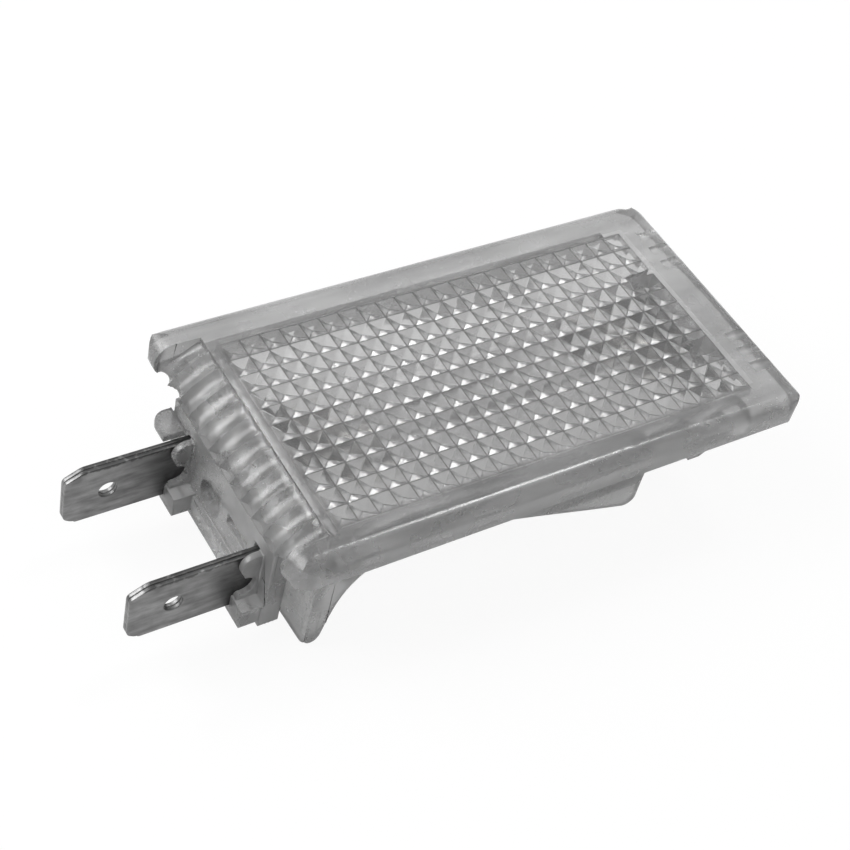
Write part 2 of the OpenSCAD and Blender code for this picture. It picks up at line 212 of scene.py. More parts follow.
def handling_marks_group():
    group = bpy.data.node_groups.new("handling_marks", "ShaderNodeTree")
    face = group.interface
    for name, value in (("Patch Scale", 180.0), ("Patch Amount", 0.5),
                        ("Dust Scale", 1800.0), ("Dust Amount", 0.3)):
        face.new_socket(name, in_out="INPUT", socket_type="NodeSocketFloat").default_value = value
    face.new_socket("Mask", in_out="OUTPUT", socket_type="NodeSocketFloat")
    given = add_node(group, "NodeGroupInput")
    where = add_node(group, "ShaderNodeTexCoord")
    patch = add_node(group, "ShaderNodeTexNoise", {"Vector": where.outputs["Object"],
                     "Scale": given.outputs["Patch Scale"], "Detail": 3.0})
    patch = add_node(group, "ShaderNodeMapRange", {0: patch.outputs[0], 1: PATCH_EDGE[0],
                                                2: PATCH_EDGE[1]})
    patch = add_node(group, "ShaderNodeMath", {0: patch.outputs[0],
                     1: given.outputs["Patch Amount"]}, operation="MULTIPLY")
    dust = add_node(group, "ShaderNodeTexNoise", {"Vector": where.outputs["Object"],
                    "Scale": given.outputs["Dust Scale"], "Detail": 1.0})
    dust = add_node(group, "ShaderNodeMapRange", {0: dust.outputs[0], 1: DUST_EDGE[0],
                                               2: DUST_EDGE[1]})
    dust = add_node(group, "ShaderNodeMath", {0: dust.outputs[0],
                    1: given.outputs["Dust Amount"]}, operation="MULTIPLY")
    both = add_node(group, "ShaderNodeMath", {0: patch.outputs[0], 1: dust.outputs[0]},
                    operation="MAXIMUM", use_clamp=True)
    add_node(group, "NodeGroupOutput", {"Mask": both.outputs[0]})
    return group


handling_marks = handling_marks_group()


def marks_in(tree, **values):
    marks = add_node(tree, "ShaderNodeGroup", node_tree=handling_marks)
    for key, value in values.items():
        marks.inputs[key.replace("_", " ")].default_value = value
    return marks.outputs["Mask"]


print("group:", handling_marks.name)

# %% [markdown]
# The body is one clear moulding in polycarbonate with a slight smoky tint. Clear plastic
# bends light at 1.58, more than glass does, so the prisms under the lens turn some rays
# back and look dark, and let others through and look bright. The shader does the same
# with real prisms. Only the grooves between them are painted near-black, as painted shade
# that draws dark lines round the cells. The lens is polished, but the skirt, rims and sockets
# come from a mould with a fine sand-blasted texture and look milky. One recipe gives all
# five finishes. It adds faint waves in the surface, and flow streaks along the light that
# make the tint a little uneven.

# %% Clear plastic, from polished to milky, with painted shade in the grooves
PLASTIC_IOR = 1.58
WAVE_SCALE, WAVE_HEIGHT = 420.0, 0.2 * MM
FLOW_SCALE, FLOW_EDGE = (90.0, 420.0, 420.0), (0.3, 0.7)


def plastic_finish(name, level, uneven, clarity, rough_low, rough_high, wave):
    finish, tree, skin = new_finish(name, Base_Color=grey(level), IOR=PLASTIC_IOR,
                                    Transmission_Weight=clarity, Roughness=rough_low)
    haze = marks_in(tree, Patch_Scale=220.0, Patch_Amount=0.35, Dust_Scale=2500.0,
                    Dust_Amount=0.25)
    rough = add_node(tree, "ShaderNodeMapRange", {0: haze, 1: 0.0, 2: 1.0, 3: rough_low,
                                                  4: rough_high})
    tree.links.new(rough.outputs[0], skin.inputs["Roughness"])
    where = add_node(tree, "ShaderNodeTexCoord")
    waves = add_node(tree, "ShaderNodeTexNoise", {"Vector": where.outputs["Object"],
                                                  "Scale": WAVE_SCALE, "Detail": 2.0})
    ripple = add_node(tree, "ShaderNodeBump", {"Height": waves.outputs[0], "Strength": wave,
                                               "Distance": WAVE_HEIGHT})
    tree.links.new(ripple.outputs[0], skin.inputs["Normal"])
    flow = add_node(tree, "ShaderNodeMapping", {"Vector": where.outputs["Object"],
                                                "Scale": FLOW_SCALE})
    flow = add_node(tree, "ShaderNodeTexNoise", {"Vector": flow.outputs[0], "Scale": 1.0,
                                                 "Detail": 3.0})
    tint = add_node(tree, "ShaderNodeMapRange", {0: flow.outputs[0], 1: FLOW_EDGE[0],
                                                 2: FLOW_EDGE[1], 3: level - uneven,
                                                 4: level + uneven})
    tree.links.new(tint.outputs[0], skin.inputs["Base Color"])
    return finish


# Each row: name, grey, its unevenness, clarity, lowest and highest roughness, waves
PLASTICS = (("clear_plastic", 0.66, 0.02, 0.9, 0.06, 0.12, 0.25),
            ("prism_plastic", 0.62, 0.04, 0.88, 0.18, 0.26, 0.25),
            ("milky_plastic", 0.5, 0.09, 0.78, 0.26, 0.38, 0.3),
            ("rim_plastic", 0.46, 0.12, 0.76, 0.16, 0.3, 0.35),
            # The last row is painted shade: a near-black for the grooves between the prisms.
            ("painted_shade_groove_plastic", 0.06, 0.04, 0.35, 0.3, 0.4, 0.2))
POLISHED, PRISM, MILKY, RIM_TOP, SHADED_GROOVE = range(len(PLASTICS))
plastics = [plastic_finish(*row) for row in PLASTICS]
print("plastics:", [finish.name for finish in plastics])

# %% [markdown]
# The solid has the moulding's whole shape, but its edges are knife-sharp, and no mould
# gives that. The lens and flutes could be modelled again by hand, yet the solid's own faces
# are a better start, because the prisms already fit the photograph. They come as thin
# triangles, so flat neighbours are merged first, and the bevels later run clean. Only the
# level where the prisms meet stays as it came, so that its narrow strips keep their edges.

# %% Moulding from the solid's faces
WELD, FLAT_DEGREES, SAME_HEIGHT = 0.002 * MM, 0.6, 0.02 * MM
GROOVE_Z = 13.0 * MM

work = bmesh.new()
work.from_mesh(nodes["lens_housing"].data)
bmesh.ops.remove_doubles(work, verts=work.verts, dist=WELD)
kept = {v for v in work.verts if abs(v.co.z - GROOVE_Z) < SAME_HEIGHT}
bmesh.ops.dissolve_limit(work, angle_limit=math.radians(FLAT_DEGREES),
                         verts=[v for v in work.verts if v not in kept],
                         edges=[e for e in work.edges if not kept.issuperset(e.verts)])
print("merged to", len(work.faces), "faces")

# %% [markdown]
# Seen from above, the corners of the real flange are rounder than the solid's. A boolean
# cut would leave a sharp edge there. Instead the points near each corner are moved: the
# corner's square is mapped onto a quarter disc, so that the rolled edge of the rim follows
# the turn. First the mesh is cut along lines, to have enough points to bend.

# %% Rounder corners
def cut_across(work, axis, place):
    line = Vector((0, 0, 0))
    line[axis] = 1
    parts = list(work.verts) + list(work.edges) + list(work.faces)
    bmesh.ops.bisect_plane(work, geom=parts, plane_co=line * place, plane_no=line, dist=1e-7)


# How far the solid's outline lies from the corner's centre, along one direction
def solid_edge(long, short, radius, solid_radius):
    inner = radius - solid_radius
    if radius / long * short < inner:
        return radius / long
    along = inner * (long + short)
    return along + math.sqrt(along ** 2 - 2 * inner ** 2 + solid_radius ** 2)


def round_corner(work, x_end, y_end, radius, solid_radius):
    side = Vector((math.copysign(1, x_end), math.copysign(1, y_end)))
    centre = Vector((x_end - side.x * radius, y_end - side.y * radius))
    for vert in work.verts:
        px, py = (vert.co.x - centre.x) * side.x, (vert.co.y - centre.y) * side.y
        if px > 0 and py > 0:
            far = math.hypot(px, py)
            keep = radius / solid_edge(max(px, py) / far, min(px, py) / far, radius, solid_radius)
            vert.co.x = centre.x + side.x * px * keep
            vert.co.y = centre.y + side.y * py * keep


RIGHT_END, LEFT_END, RIM = 31.2 * MM, -20.9 * MM, 14.1 * MM
CORNER_CUTS, CUT_DEGREES = 6, 7.5
# Each row: the corner's place, its radius, and the radius that the solid has there
CORNERS = ((RIGHT_END, RIM, 2.0 * MM, 0.6 * MM), (RIGHT_END, -RIM, 1.0 * MM, 0.6 * MM),
           (LEFT_END, RIM, 1.75 * MM, 1.6 * MM), (LEFT_END, -RIM, 2.3 * MM, 1.6 * MM))
for x_end, y_end, radius, solid_radius in CORNERS:
    for k in range(CORNER_CUTS):
        inset = radius * (1 - math.tan(math.radians(CUT_DEGREES * k)))
        cut_across(work, 0, x_end - math.copysign(inset, x_end))
        cut_across(work, 1, y_end - math.copysign(inset, y_end))
for corner in CORNERS:
    round_corner(work, *corner)
print("corners of", [round(corner[2] / MM, 2) for corner in CORNERS], "mm")

# %% [markdown]
# Two more forms are set right by moving points. The real flutes start almost level with
# the lens, so they are raised, by less and less towards their foot. And the wall that
# closes the right end is made thinner: seen through the flange, a thick one draws an
# outline that the real light doesn't show.

# %% Raised flutes and a thinner end wall
FACE = 14.3 * MM
FLUTE_START, FLUTE_FOOT, FLUTE_SIDE = -16.68 * MM, -20.3 * MM, 11.61 * MM
FLUTE_LIFT, FLUTE_Z = 0.6 * MM, (11.35 * MM, 14.0 * MM)
raised = 0
for vert in work.verts:
    if (FLUTE_FOOT - 0.01 * MM < vert.co.x < FLUTE_START and abs(vert.co.y) < FLUTE_SIDE
            and FLUTE_Z[0] < vert.co.z < FLUTE_Z[1]):
        vert.co.z += FLUTE_LIFT * (vert.co.x - FLUTE_FOOT) / (FLUTE_START - FLUTE_FOOT)
        raised += 1

WALL_FACE, WALL_SIDE, WALL_THINNED = 28.9 * MM, 5.7 * MM, 0.5 * MM
wall_points = [v for v in work.verts
               if abs(v.co.x - WALL_FACE) < SAME_HEIGHT and abs(v.co.y) < WALL_SIDE]
for vert in wall_points:
    vert.co.x -= WALL_THINNED
print("flutes raised at", raised, "points, wall thinned at", len(wall_points))

# %% [markdown]
# Every hard edge is bevelled, with a smaller radius on the prisms than on the rest. On
# clear plastic a bevel matters more than on metal, because each one bends light into a
# thin line. A bevel modifier would treat all edges alike, so the edges are picked by their
# angle, and by whether they lie in the lens. The top is first cut along the lens's border,
# where the finish changes later.

# %% Soft edges
LENS_X, LENS_Y, LENS_LOW = (-15.45 * MM, 27.65 * MM), 10.76 * MM, 12.0 * MM
PRISM_HIGH = 13.8 * MM
HARD_DEGREES, SHORTEST = 28, 0.12 * MM
EDGE_SOFT, PRISM_SOFT = 0.09 * MM, 0.065 * MM


def in_lens(point):
    return LENS_X[0] < point.x < LENS_X[1] and abs(point.y) < LENS_Y and point.z > LENS_LOW


def hard_edges(work, prisms):
    picked = []
    for edge in work.edges:
        middle = (edge.verts[0].co + edge.verts[1].co) / 2
        inside = in_lens(middle) and middle.z < PRISM_HIGH
        if (inside == prisms and len(edge.link_faces) == 2
                and edge.calc_face_angle(0) > math.radians(HARD_DEGREES)
                and edge.calc_length() > SHORTEST):
            picked.append(edge)
    return picked


for place in LENS_X:
    cut_across(work, 0, place)
for place in (-LENS_Y, LENS_Y):
    cut_across(work, 1, place)
for prisms, size, cuts in ((True, PRISM_SOFT, 1), (False, EDGE_SOFT, 2)):
    edges = hard_edges(work, prisms)
    bmesh.ops.bevel(work, geom=edges, offset=size, segments=cuts, profile=0.5,
                    affect="EDGES", clamp_overlap=False)
    print("bevelled", len(edges), "edges at", round(size / MM, 3), "mm")

# %% [markdown]
# Each face now gets its finish, by where it lies and which way it looks: the top is
# polished over the lens and a little milky round it, the prisms are slightly rough, and
# the narrow strips between them, which look straight down, get the near-black painted
# shade. A mask drawn in a shader would need the same tests in nodes, and here the faces already
# follow the forms.

# %% Finish of each face
TOP_BAND, GROOVE_AREA = 0.1 * MM, 0.3 * MM * MM
UP, DOWNWARD = 0.99, -0.95
for face in work.faces:
    middle = face.calc_center_median()
    lens = in_lens(middle)
    if face.normal.z > UP and middle.z > FACE - TOP_BAND:
        face.material_index = POLISHED if lens else RIM_TOP
    # Small downward strips in the lens get the near-black painted shade that draws dark lines
    # between the prisms.
    elif lens and face.normal.z < DOWNWARD and face.calc_area() < GROOVE_AREA:
        face.material_index = SHADED_GROOVE
    else:
        face.material_index = PRISM if lens else MILKY
print("painted shade grooves:", sum(face.material_index == SHADED_GROOVE for face in work.faces))

# %% [markdown]
# The finished mesh becomes a piece that stands in for the solid. Normals that the solid's
# mesh brought along would shade the new bevels wrongly, so they are dropped. Gentle turns,
# such as the flutes, are shaded smooth, and sharper ones keep their edge.

# %% Clear moulding
SHARP_DEGREES = 24
moulded = bpy.data.meshes.new("clear_moulding")
work.to_mesh(moulded)
work.free()
for stale in [a for a in moulded.attributes if "normal" in a.name]:
    moulded.attributes.remove(stale)
moulding = bpy.data.objects.new("clear_moulding", moulded)
bpy.context.scene.collection.objects.link(moulding)
moulded.shade_smooth()
moulded.set_sharp_from_angle(angle=math.radians(SHARP_DEGREES))
for finish in plastics:
    moulded.materials.append(finish)
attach(moulding, "root")
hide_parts("lens_housing")
print("clear moulding:", len(moulded.polygons), "faces")

# %% [markdown]
# The contacts are stamped from brass strip and tin-plated. Tin is a soft, dull silver
# that darkens in patches where it has been handled. Long thin scratches run
# along the strip, so the noise is stretched along X before it drives colour and bump.

# %% Tin-plated brass
SCRATCH_SCALE, CLOUD_SCALE = (300.0, 900.0, 1500.0), 520.0
TONES = ((0.1, 0.11), (0.42, 0.36))
tinned_brass, tree, skin = new_finish("tinned_brass", Metallic=1.0, Roughness=0.38,
                                      Base_Color=grey(0.3))
where = add_node(tree, "ShaderNodeTexCoord")
along = add_node(tree, "ShaderNodeMapping", {"Vector": where.outputs["Object"],
                                             "Scale": SCRATCH_SCALE})
drawn = add_node(tree, "ShaderNodeTexNoise", {"Vector": along.outputs[0], "Scale": 1.0,
                                              "Detail": 5.0})
cloud = add_node(tree, "ShaderNodeTexNoise", {"Vector": where.outputs["Object"],
                                              "Scale": CLOUD_SCALE, "Detail": 4.0})
mottle = add_node(tree, "ShaderNodeMath", {0: drawn.outputs[0], 1: cloud.outputs[0]},
                  operation="MULTIPLY")
tone = add_node(tree, "ShaderNodeValToRGB", {0: mottle.outputs[0]})
for element, (position, level) in zip(tone.color_ramp.elements, TONES):
    element.position, element.color = position, grey(level)
dull = add_node(tree, "ShaderNodeMapRange", {0: cloud.outputs[0], 1: 0.3, 2: 0.7,
                                             3: 0.3, 4: 0.55})
tree.links.new(dull.outputs[0], skin.inputs["Roughness"])
grain = add_node(tree, "ShaderNodeBump", {"Height": mottle.outputs[0], "Strength": 0.6,
                                          "Distance": 0.08 * MM})
tree.links.new(grain.outputs[0], skin.inputs["Normal"])
print("tin plate:", len(tree.nodes), "nodes")

# %% [markdown]
# Two dark marks lie on the tabs: a smear of dirt that grows towards the moulding, which
# is partly painted shade where the moulding shades the tab, and black specks of dirt along
# the folded top. Each is noise, kept to its zone by a ramp over X or Z. The stronger of
# the two then mixes a near-black into the tin's colour.

# %% Dirt and painted shade on the tabs
PAINTED_SHADE_ZONE, TOP_ZONE = (-25.8 * MM, -22.2 * MM), (8.4 * MM, 9.2 * MM)
SPECK_SCALE, DIRT_AND_SHADE_SHARE, DIRT_AND_SHADE_GREY = 1700.0, 0.7, 0.05
place = add_node(tree, "ShaderNodeSeparateXYZ", {0: where.outputs["Object"]})
specks = add_node(tree, "ShaderNodeTexNoise", {"Vector": where.outputs["Object"],
                                               "Scale": SPECK_SCALE, "Detail": 2.0})
# Painted shade: the smear grows from nothing to full towards the moulding, where the moulding
# shades the tab.
shade_towards_moulding = add_node(tree, "ShaderNodeMapRange", {0: place.outputs["X"], 1: PAINTED_SHADE_ZONE[0],
                                                    2: PAINTED_SHADE_ZONE[1]})
dirt_and_shade_smear = add_node(tree, "ShaderNodeMapRange", {0: cloud.outputs[0], 1: 0.35, 2: 0.6})
dirt_and_shade_smear = add_node(tree, "ShaderNodeMath", {0: dirt_and_shade_smear.outputs[0], 1: shade_towards_moulding.outputs[0]},
                 operation="MULTIPLY")
near_top = add_node(tree, "ShaderNodeMapRange", {0: place.outputs["Z"], 1: TOP_ZONE[0],
                                                 2: TOP_ZONE[1]})
grime = add_node(tree, "ShaderNodeMath", {0: specks.outputs[0], 1: near_top.outputs[0]},
                 operation="MULTIPLY")
grime = add_node(tree, "ShaderNodeMapRange", {0: grime.outputs[0], 1: 0.33, 2: 0.45})
dirt_and_shade = add_node(tree, "ShaderNodeMath", {0: dirt_and_shade_smear.outputs[0], 1: grime.outputs[0]},
                operation="MAXIMUM")
dirt_and_shade = add_node(tree, "ShaderNodeMath", {0: dirt_and_shade.outputs[0], 1: DIRT_AND_SHADE_SHARE},
                operation="MULTIPLY")
stained = add_node(tree, "ShaderNodeMix", {"Factor": dirt_and_shade.outputs[0], "A": tone.outputs[0],
                                           "B": grey(DIRT_AND_SHADE_GREY)}, data_type="RGBA")
tree.links.new(stained.outputs["Result"], skin.inputs["Base Color"])
print("dirt covers up to", DIRT_AND_SHADE_SHARE, "of the tin")

# %% [markdown]
# Each contact is 0.4 mm sheet. The tab is that sheet folded double along its lower edge,
# which makes the standard 0.8 mm and leaves a seam along the top. A flat blank could be
# cut from a box with boolean tools. A filled 2D curve is simpler: its outline, holes and
# softened edges come from one set of points, and it turns into a clean mesh. Two helpers
# make such points: a ring for a hole, and a polygon with rounded corners.

# %% Outlines
def ring(x, y, radius, count=28):
    turns = [2 * math.pi * k / count for k in range(count)]
    return [(x + radius * math.cos(a), y + radius * math.sin(a)) for a in turns]


def soft_corners(points, radius, steps=4):
    loop = []
    for k, corner in enumerate(points):
        before = Vector(points[k - 1]) - Vector(corner)
        after = Vector(points[(k + 1) % len(points)]) - Vector(corner)
        cut = min(radius, before.length / 2.2, after.length / 2.2)
        a = Vector(corner) + before.normalized() * cut
        b = Vector(corner) + after.normalized() * cut
        for step in range(steps + 1):
            t = step / steps
            loop.append(tuple((1 - t) ** 2 * a + 2 * t * (1 - t) * Vector(corner) + t * t * b))
    return loop


print("a ring has", len(ring(0, 0, 1)), "points")

# %% [markdown]
# A blank is such an outline with its holes, filled and given the sheet's thickness. The
# curve's own bevel softens all edges at once. It grows the outline by its depth, so the
# outline is first drawn in by as much. A turn then stands the flat blank up.

# %% Flat blanks
SHEET = 0.4 * MM
FACE_Y = Matrix(((1, 0, 0, 0), (0, 0, -1, 0), (0, 1, 0, 0), (0, 0, 0, 1)))
FACE_X = Matrix(((0, 0, 1, 0), (1, 0, 0, 0), (0, 1, 0, 0), (0, 0, 0, 1)))


def flat_blank(loops, thickness, softness, turn):
    curve = bpy.data.curves.new("blank", "CURVE")
    curve.dimensions, curve.fill_mode = "2D", "BOTH"
    curve.extrude = thickness / 2 - softness
    curve.bevel_depth, curve.bevel_resolution = softness, 2
    curve.offset = -softness
    for loop in loops:
        spline = curve.splines.new("POLY")
        spline.points.add(len(loop) - 1)
        for point, (x, y) in zip(spline.points, loop):
            point.co = (x, y, 0, 1)
        spline.use_cyclic_u = True
    shape = bpy.data.objects.new("blank", curve)
    bpy.context.scene.collection.objects.link(shape)
    bpy.context.view_layer.update()
    mesh = bpy.data.meshes.new_from_object(shape.evaluated_get(
        bpy.context.evaluated_depsgraph_get()))
    bpy.data.objects.remove(shape)
    mesh.transform(turn)
    return mesh


print("sheet of", round(SHEET / MM, 2), "mm")

# %% [markdown]
# A folded tab is two leaves side by side and a round fold under them. Folding a mesh would
# stretch its hole, so the leaves are two blanks with a fine gap between them, which shows
# as the seam on top. The fold is a bar as thick as both, and its front end tapers round,
# as the pressed tip does.

# %% Folded tabs
TAB_TIP, TAB_END = -31.55 * MM, -17.9 * MM
TAB_LOW, TAB_MID, TAB_HIGH = 2.9 * MM, 6.05 * MM, 9.2 * MM
HOLE_X, HOLE_Z, HOLE_R = -27.6 * MM, 6.15 * MM, 0.85 * MM
TAB_Y = {"near": -7.3 * MM, "far": 5.5 * MM}
SEAM, LEAF_SOFT, LEAF_CORNER = 0.01 * MM, 0.07 * MM, 0.35 * MM
FOLD_START, FOLD_STEPS = TAB_TIP + 1.25 * MM, 16
NOSE_TURNS = (0.15, 0.5, 0.9, 1.25, math.pi / 2)


def folded_tab(y):
    fold_z = TAB_LOW + SHEET
    leaf = soft_corners([(TAB_TIP, TAB_MID + 2.3 * MM), (TAB_TIP, TAB_MID - 2.2 * MM),
                         (TAB_TIP + 0.75 * MM, fold_z), (TAB_END, fold_z),
                         (TAB_END, TAB_HIGH), (TAB_TIP + 1.7 * MM, TAB_HIGH)], LEAF_CORNER)
    hole = ring(HOLE_X, HOLE_Z, HOLE_R)
    leaves = [flat_blank([leaf, hole], SHEET - SEAM, LEAF_SOFT,
                         Matrix.Translation((0, y + side * SHEET / 2, 0)) @ FACE_Y)
              for side in (-1, 1)]
    work = bmesh.new()
    nose = [(FOLD_START - SHEET * math.cos(a), SHEET * math.sin(a)) for a in NOSE_TURNS]
    rings = [[work.verts.new((x, y + r * math.cos(2 * math.pi * k / FOLD_STEPS),
                              fold_z + r * math.sin(2 * math.pi * k / FOLD_STEPS)))
              for k in range(FOLD_STEPS)] for x, r in nose + [(TAB_END, SHEET)]]
    for one, two in zip(rings, rings[1:]):
        for k in range(FOLD_STEPS):
            n = (k + 1) % FOLD_STEPS
            work.faces.new((one[k], two[k], two[n], one[n]))
    work.faces.new(rings[0])
    work.faces.new(rings[-1][::-1])
    bmesh.ops.recalc_face_normals(work, faces=work.faces)
    bar = bpy.data.meshes.new("fold")
    work.to_mesh(bar)
    work.free()
    return leaves + [bar]


tabs = {name: folded_tab(y) for name, y in TAB_Y.items()}
print("tabs:", {name: [len(m.polygons) for m in parts] for name, parts in tabs.items()})

# %% [markdown]
# At the other end of each contact a plate stands across the strip. Its round hole seats
# the nose of a bulb cap, and the sheet's spring holds the bulb. It is one more blank, with
# the hole as its second outline.

# %% Spring plates
PLATE_X = {"near": 25.9 * MM, "far": -13.7 * MM}
PLATE_SIDE, PLATE_LOW, PLATE_HIGH, PLATE_CORNER = 4.1 * MM, 1.9 * MM, 10.7 * MM, 1.0 * MM
SEAT_Z, SEAT_R, PLATE_SOFT = 6.2 * MM, 1.53 * MM, 0.09 * MM


def spring_plate(x):
    outline = soft_corners([(-PLATE_SIDE, PLATE_LOW), (PLATE_SIDE, PLATE_LOW),
                            (PLATE_SIDE, PLATE_HIGH), (-PLATE_SIDE, PLATE_HIGH)], PLATE_CORNER)
    seat = ring(0, SEAT_Z, SEAT_R)
    return flat_blank([outline, seat], SHEET, PLATE_SOFT,
                      Matrix.Translation((x, 0, 0)) @ FACE_X)


plates = {name: spring_plate(x) for name, x in PLATE_X.items()}
print("plates:", {name: len(plate.polygons) for name, plate in plates.items()})

# %% [markdown]
# A strip on edge joins tab and plate. The press bends it with a radius, so each corner of
# its path becomes a short curve, and the strip's section follows the path. At a turn the
# section is widened a little, or the sheet would look thinner there.

# %% Bent strips
STRIP_LOW, STRIP_HIGH, STRIP_SOFT = 6.1 * MM, 9.9 * MM, 0.06 * MM
# Each row: the path in mm, and the radius of its turns
STRIP_PATHS = {"near": ([(-18.1, -7.3), (-15.6, -7.3), (-13.3, -10.45), (25.9, -10.45),
                         (25.9, -4.0)], 0.9),
               "far": ([(-18.1, 5.5), (-13.7, 5.5), (-13.7, 4.0)], 0.7)}
LEAST_LEAN = 0.4


def bent(points, radius):
    inner = [points[0]]
    for before, corner, after in zip(points, points[1:], points[2:]):
        corner = Vector(corner)
        back = (Vector(before) - corner).normalized() * radius
        ahead = (Vector(after) - corner).normalized() * radius
        inner += [tuple(corner + back * (1 - t) ** 2 + ahead * t * t) for t in
                  (0, 0.2, 0.4, 0.6, 0.8, 1)]
    return inner + [points[-1]]


def upright_strip(path, low, high, thickness, softness):
    section = [(u * (thickness / 2 - du), (low + high) / 2 + v * ((high - low) / 2 - dv))
               for u, v, du, dv in ((1, 1, 0, softness), (1, 1, softness, 0),
                                    (-1, 1, softness, 0), (-1, 1, 0, softness),
                                    (-1, -1, 0, softness), (-1, -1, softness, 0),
                                    (1, -1, softness, 0), (1, -1, 0, softness))]
    work = bmesh.new()
    rings = []
    for k, here in enumerate(path):
        here = Vector(here)
        back = (here - Vector(path[max(k - 1, 0)])).normalized()
        ahead = (Vector(path[min(k + 1, len(path) - 1)]) - here).normalized()
        way = (back + ahead).normalized()
        side = Vector((way.y, -way.x))
        reach = 1
        if 0 < k < len(path) - 1:
            reach = 1 / max(LEAST_LEAN, abs(side.dot(Vector((ahead.y, -ahead.x)))))
        rings.append([work.verts.new((here.x + side.x * u * reach, here.y + side.y * u * reach,
                                      v)) for u, v in section])
    for one, two in zip(rings, rings[1:]):
        for k in range(len(section)):
            n = (k + 1) % len(section)
            work.faces.new((one[k], one[n], two[n], two[k]))
    work.faces.new(rings[0])
    work.faces.new(rings[-1][::-1])
    bmesh.ops.recalc_face_normals(work, faces=work.faces)
    mesh = bpy.data.meshes.new("strip")
    work.to_mesh(mesh)
    work.free()
    return mesh


strips = {}
for name, (path, turn) in STRIP_PATHS.items():
    path = bent([(x * MM, y * MM) for x, y in path], turn * MM)
    strips[name] = upright_strip(path, STRIP_LOW, STRIP_HIGH, SHEET, STRIP_SOFT)
print("strips:", {name: len(strip.polygons) for name, strip in strips.items()})

# %% [markdown]
# The real contact is one blank of metal, so its parts are put into one mesh. They overlap
# where they meet, which hides the joints. A boolean union would give one skin, but it could
# also leave odd shading at the folds.

# %% Stamped contacts
def one_piece(name, meshes, smooth_angle=40):
    work = bmesh.new()
    for mesh in meshes:
        work.from_mesh(mesh)
        bpy.data.meshes.remove(mesh)
    joined = bpy.data.meshes.new(name)
    work.to_mesh(joined)
    work.free()
    piece = bpy.data.objects.new(name, joined)
    bpy.context.scene.collection.objects.link(piece)
    joined.shade_smooth()
    joined.set_sharp_from_angle(angle=math.radians(smooth_angle))
    return piece


for name in TAB_Y:
    contact = one_piece("stamped_contact_" + name, tabs[name] + [strips[name], plates[name]])
    contact.data.materials.append(tinned_brass)
    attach(contact, "root")
    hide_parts("contact_" + name)
    print(contact.name, len(contact.data.polygons), "faces")

# %% [markdown]
# The bulb's tube is thin blown glass. Its shape in the solids is right: a hollow tube
# drawn in at both ends. Glass gets a plain shader with no tint and hardly any roughness.

# %% Bulb glass
bulb_glass, tree, skin = new_finish("bulb_glass", Base_Color=grey(0.97), IOR=1.5,
                                    Transmission_Weight=1.0, Roughness=0.01)
film = marks_in(tree, Patch_Scale=160.0, Patch_Amount=0.2, Dust_Scale=2200.0,
                Dust_Amount=0.2)
rough = add_node(tree, "ShaderNodeMapRange", {0: film, 1: 0.0, 2: 1.0, 3: 0.01, 4: 0.15})
tree.links.new(rough.outputs[0], skin.inputs["Roughness"])
nodes["bulb_glass"].material_slots[0].material = bulb_glass
print("glass on", nodes["bulb_glass"].name)

# %% [markdown]
# The end caps are drawn from thin sheet and nickel-plated: brighter and slightly warmer
# than tin, with fine rings from the drawing tool. Rings round the bulb's axis come from a
# wave texture that runs along X.

# %% Nickel-plated cap
DRAWN_SCALE, DRAWN_DEPTH = 1400.0, 0.03 * MM
cap_metal, tree, skin = new_finish("nickel_cap", Metallic=1.0, Roughness=0.2,
                                   Base_Color=(0.66, 0.65, 0.63, 1.0))
where = add_node(tree, "ShaderNodeTexCoord")
rings = add_node(tree, "ShaderNodeTexWave", {"Vector": where.outputs["Object"],
                 "Scale": DRAWN_SCALE, "Distortion": 1.5, "Detail": 2.0}, bands_direction="X")
worn = marks_in(tree, Patch_Scale=400.0, Patch_Amount=0.8, Dust_Scale=3000.0,
                Dust_Amount=0.4)
rough = add_node(tree, "ShaderNodeMapRange", {0: worn, 1: 0.0, 2: 1.0, 3: 0.18, 4: 0.42})
tree.links.new(rough.outputs[0], skin.inputs["Roughness"])
turned = add_node(tree, "ShaderNodeBump", {"Height": rings.outputs[0], "Strength": 0.12,
                                           "Distance": DRAWN_DEPTH})
tree.links.new(turned.outputs[0], skin.inputs["Normal"])
print("nickel plate ready")

# %% [markdown]
# A cap is a thin cup pressed from sheet: its open rim is turned out a little, its shoulder
# and nose are round, and a shallow groove grips the neck of the glass. Every such form is
# round about one axis, so it is turned: a profile of radius against distance is spun about
# the bulb's axis, outside first and then back along the inside, which gives it thickness.

# %% Pressed caps
BULB_MID, BULB_Z = 6.1 * MM, 6.2 * MM


def turned_mesh(profile, side=1, steps=40):
    work = bmesh.new()
    rings = []
    for along, radius in profile:
        x = BULB_MID + side * along * MM
        if radius == 0:
            rings.append([work.verts.new((x, 0, BULB_Z))] * steps)
            continue
        rings.append([work.verts.new((x, radius * MM * math.cos(2 * math.pi * k / steps),
                                      BULB_Z + radius * MM * math.sin(2 * math.pi * k / steps)))
                      for k in range(steps)])
    for one, two in zip(rings, rings[1:]):
        for k in range(steps):
            n = (k + 1) % steps
            corners = [one[k], two[k], two[n], one[n]]
            corners = [v for i, v in enumerate(corners) if v not in corners[:i]]
            if len(corners) > 2:
                work.faces.new(corners)
    bmesh.ops.recalc_face_normals(work, faces=work.faces)
    mesh = bpy.data.meshes.new("turned")
    work.to_mesh(mesh)
    work.free()
    return mesh


